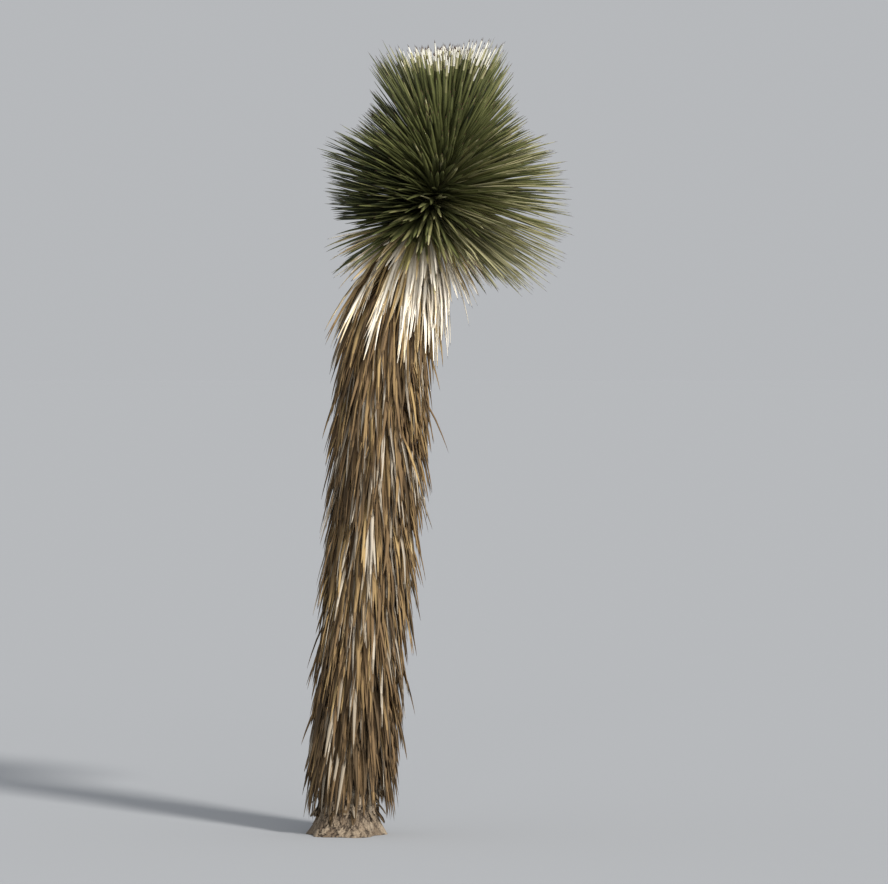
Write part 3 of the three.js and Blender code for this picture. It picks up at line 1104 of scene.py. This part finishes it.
@dataclass
class Thatch:
    """The straw skirt under the head and the five weathered tiers below it."""

    stem: Stem
    skirt_foot: float = 1.64
    skirt_leaves: int = 260
    skirt_tone: float = 7.5
    skirt_flare: float = 3.5
    skirt_ageing: float = 4.6
    # Painted light and shade on the skirt: paler towards the lit side, darker on the shaded side.
    skirt_painted_light_by_side: float = 1.7
    tier_leaves: int = 560
    tier_tones: Row = (1.2, 0.7, 1.4, 0.9, 0.2)
    tier_greys: Row = (0.1, 0.15, 0.25, 0.15, 0.1)

    def build(self, rng: Rng) -> None:
        """Builds the skirt, then the tiers from the top down, each in tones of its own.

        Args:
            rng: the seeded generator.
        """
        DeadTier(
            self.stem, "skirt_leaves", "straw_skirt", "straw_leaf", THATCH_TOP, self.skirt_foot,
            self.skirt_leaves, browns=self.skirt_tone, grey_share=0.0, bunches=SKIRT_BUNCHES,
            flare=self.skirt_flare, ageing=self.skirt_ageing, painted_light_by_side=self.skirt_painted_light_by_side,
        ).build(rng)
        edges = np.linspace(self.skirt_foot, THATCH_FOOT, len(self.tier_tones) + 1)
        for i, (tone, grey) in enumerate(zip(self.tier_tones, self.tier_greys)):
            DeadTier(
                self.stem, f"thatch_leaves_{i + 1}", f"thatch_tier_{i + 1}", "dead_leaf",
                edges[i], edges[i + 1], self.tier_leaves, browns=tone, grey_share=grey,
            ).build(rng)


@dataclass
class LeafStubs:
    """The broken-off feet of the first leaves, which stand on the bare foot under the thatch."""

    stem: Stem
    stubs: int = 150
    top: float = 0.27
    foot: float = 0.07
    lengths: Span = (0.018, 0.060)
    azimuth_spread: float = 0.2
    off_bark: Span = (15.0, 55.0)
    bend: float = 12.0
    rung: float = 1.0
    tone_spread: float = 0.7
    drift: Row = (0.0, 0.0, 0.1, -0.3, -0.3)
    form: BladeForm = BladeForm(
        stations=(0.0, 0.3, 0.7, 0.93, 1.0), clasp=0.5, clasp_length=0.3, draw_in=12.0, lift=0.3,
        thickness=0.12, zone_ends=(0.2, 0.6, 0.9, 1.0, 1.0), width=0.016, width_range=(0.7, 1.3),
        swerve=0.3, twist=0.5, curls=(0.0, 0.6),
    )

    def build(self, rng: Rng) -> None:
        """Builds the stubs, which point down, lie off the bark at their roots and bend towards it.

        Args:
            rng: the seeded generator.
        """
        count = self.stubs
        height = np.linspace(self.top, self.foot, count)
        azimuth = spiral(rng, count, self.azimuth_spread)
        off = rng.uniform(*self.off_bark, count)[:, None] - self.bend * self.form.middles()
        leaves = Leaves(
            form=self.form, root=self.stem.root(height, azimuth),
            directions=self.stem.directions(height, azimuth, 0.0), angles=np.radians(180 - off),
            length=rng.uniform(*self.lengths, count), **self.form.deal(rng, count),
            tones=deal_tones(rng, GREYS, np.full(count, self.rung), self.tone_spread, self.drift),
        )
        place_piece(leaves.mesh("leaf_stubs"), "dead_leaf")


@dataclass(frozen=True)
class Lamp:
    """A far lamp, with its strength in watts a square metre.

    side is the angle to the right of the camera, height the angle above the floor, and softness the
    angle that the lamp fills, all in degrees.
    """

    name: str
    side: float
    height: float
    strength: float
    softness: float
    colour: tuple[float, float, float] = (1.0, 0.96, 0.9)

    def on_floor(self) -> Array:
        """Gives the light that a level floor sends back: strength x the sine of the height over pi."""
        return np.array(self.colour) * self.strength * math.sin(math.radians(self.height)) / math.pi

    def hang(self) -> None:
        """Hangs the lamp, turned so that it shines on the plant."""
        turn, rise = math.radians(self.side), math.radians(self.height)
        level = math.cos(rise)
        towards = Vector((math.sin(turn) * level, -math.cos(turn) * level, math.sin(rise)))
        light = bpy.data.lights.new(self.name, "SUN")
        light.energy = self.strength
        light.angle = math.radians(self.softness)
        light.color = self.colour
        add_object(self.name, light).rotation_euler = towards.to_track_quat("Z", "Y").to_euler()


@dataclass
class Studio:
    """A pale floor, a soft sun from the right, a low fill light, and the photograph's camera angle."""

    sun: Lamp = Lamp("studio_sun", side=32.0, height=30.0, strength=3.8, softness=8.0)
    fill: Lamp = Lamp("studio_fill", side=10.0, height=8.0, strength=1.6, softness=40.0)
    sky_colour: tuple[float, float, float] = (0.94, 0.965, 1.0)
    sky_strength: float = 0.5
    floor_radius: float = 100.0
    floor_sides: int = 96
    eye_height: float = 1.6
    distance: float = 19.0
    view_width: float = 2.62
    sensor: float = 36.0

    def build(self) -> None:
        """Builds the floor, the lights and the camera."""
        self.floor()
        self.lights()
        self.camera()

    def floor_tone(self) -> Array:
        """Gives the linear colour that makes the lit floor look like the sky: its share of the light."""
        sky = np.array(self.sky_colour) * self.sky_strength
        return sky / (sky + self.sun.on_floor() + self.fill.on_floor())

    def floor(self) -> None:
        """Lays a wide flat disc of matt paint in the floor's tone."""
        rim = around(self.floor_radius, full_turn(self.floor_sides), 0.0)
        mesh = fill_mesh("studio_floor", rim, np.arange(len(rim)), np.array([len(rim)]))
        matt = {"Base Color": (*self.floor_tone(), 1.0), "Roughness": 1.0, "Specular IOR Level": 0.0}
        mesh.materials.append(new_material("matt_floor_paint", matt)[0])
        add_object("studio_floor", mesh)

    def lights(self) -> None:
        """Hangs a soft sun to the right of the camera, a softer low fill light and an even pale sky."""
        self.sun.hang()
        self.fill.hang()
        world = bpy.data.worlds.new("studio_sky")
        world.use_nodes = True
        sky = world.node_tree.nodes["Background"]
        sky.inputs["Color"].default_value = (*self.sky_colour, 1.0)
        sky.inputs["Strength"].default_value = self.sky_strength
        bpy.context.scene.world = world

    def camera(self) -> None:
        """Sets the camera at eye height, as far off as in the photograph, on a lens to fill the frame."""
        low, high = CAD_BOX
        centre = (low + high) / 2
        lens = bpy.data.cameras.new("studio_camera")
        lens.sensor_width = self.sensor
        lens.lens = self.sensor * self.distance / self.view_width
        lens.clip_end = 2 * self.floor_radius
        camera = add_object("studio_camera", lens)
        camera.location = (centre.x, -self.distance, self.eye_height)
        camera.rotation_euler = (centre - camera.location).to_track_quat("-Z", "Y").to_euler()
        bpy.context.scene.camera = camera
        bpy.context.scene.view_settings.view_transform = "Standard"


def main() -> None:
    """Builds the plant from the ground up, then the studio."""
    logging.basicConfig(level=logging.INFO, format="%(message)s")
    rng = np.random.default_rng(SEED)
    stem = Stem()
    BarkedStem(stem).build()
    LeafStubs(stem).build(rng)
    Thatch(stem).build(rng)
    FadingRing(stem).build(rng)
    GreenHead(stem).build(rng)
    GrowingTip(stem).build()
    Studio().build()


if __name__ == "__main__":
    main()
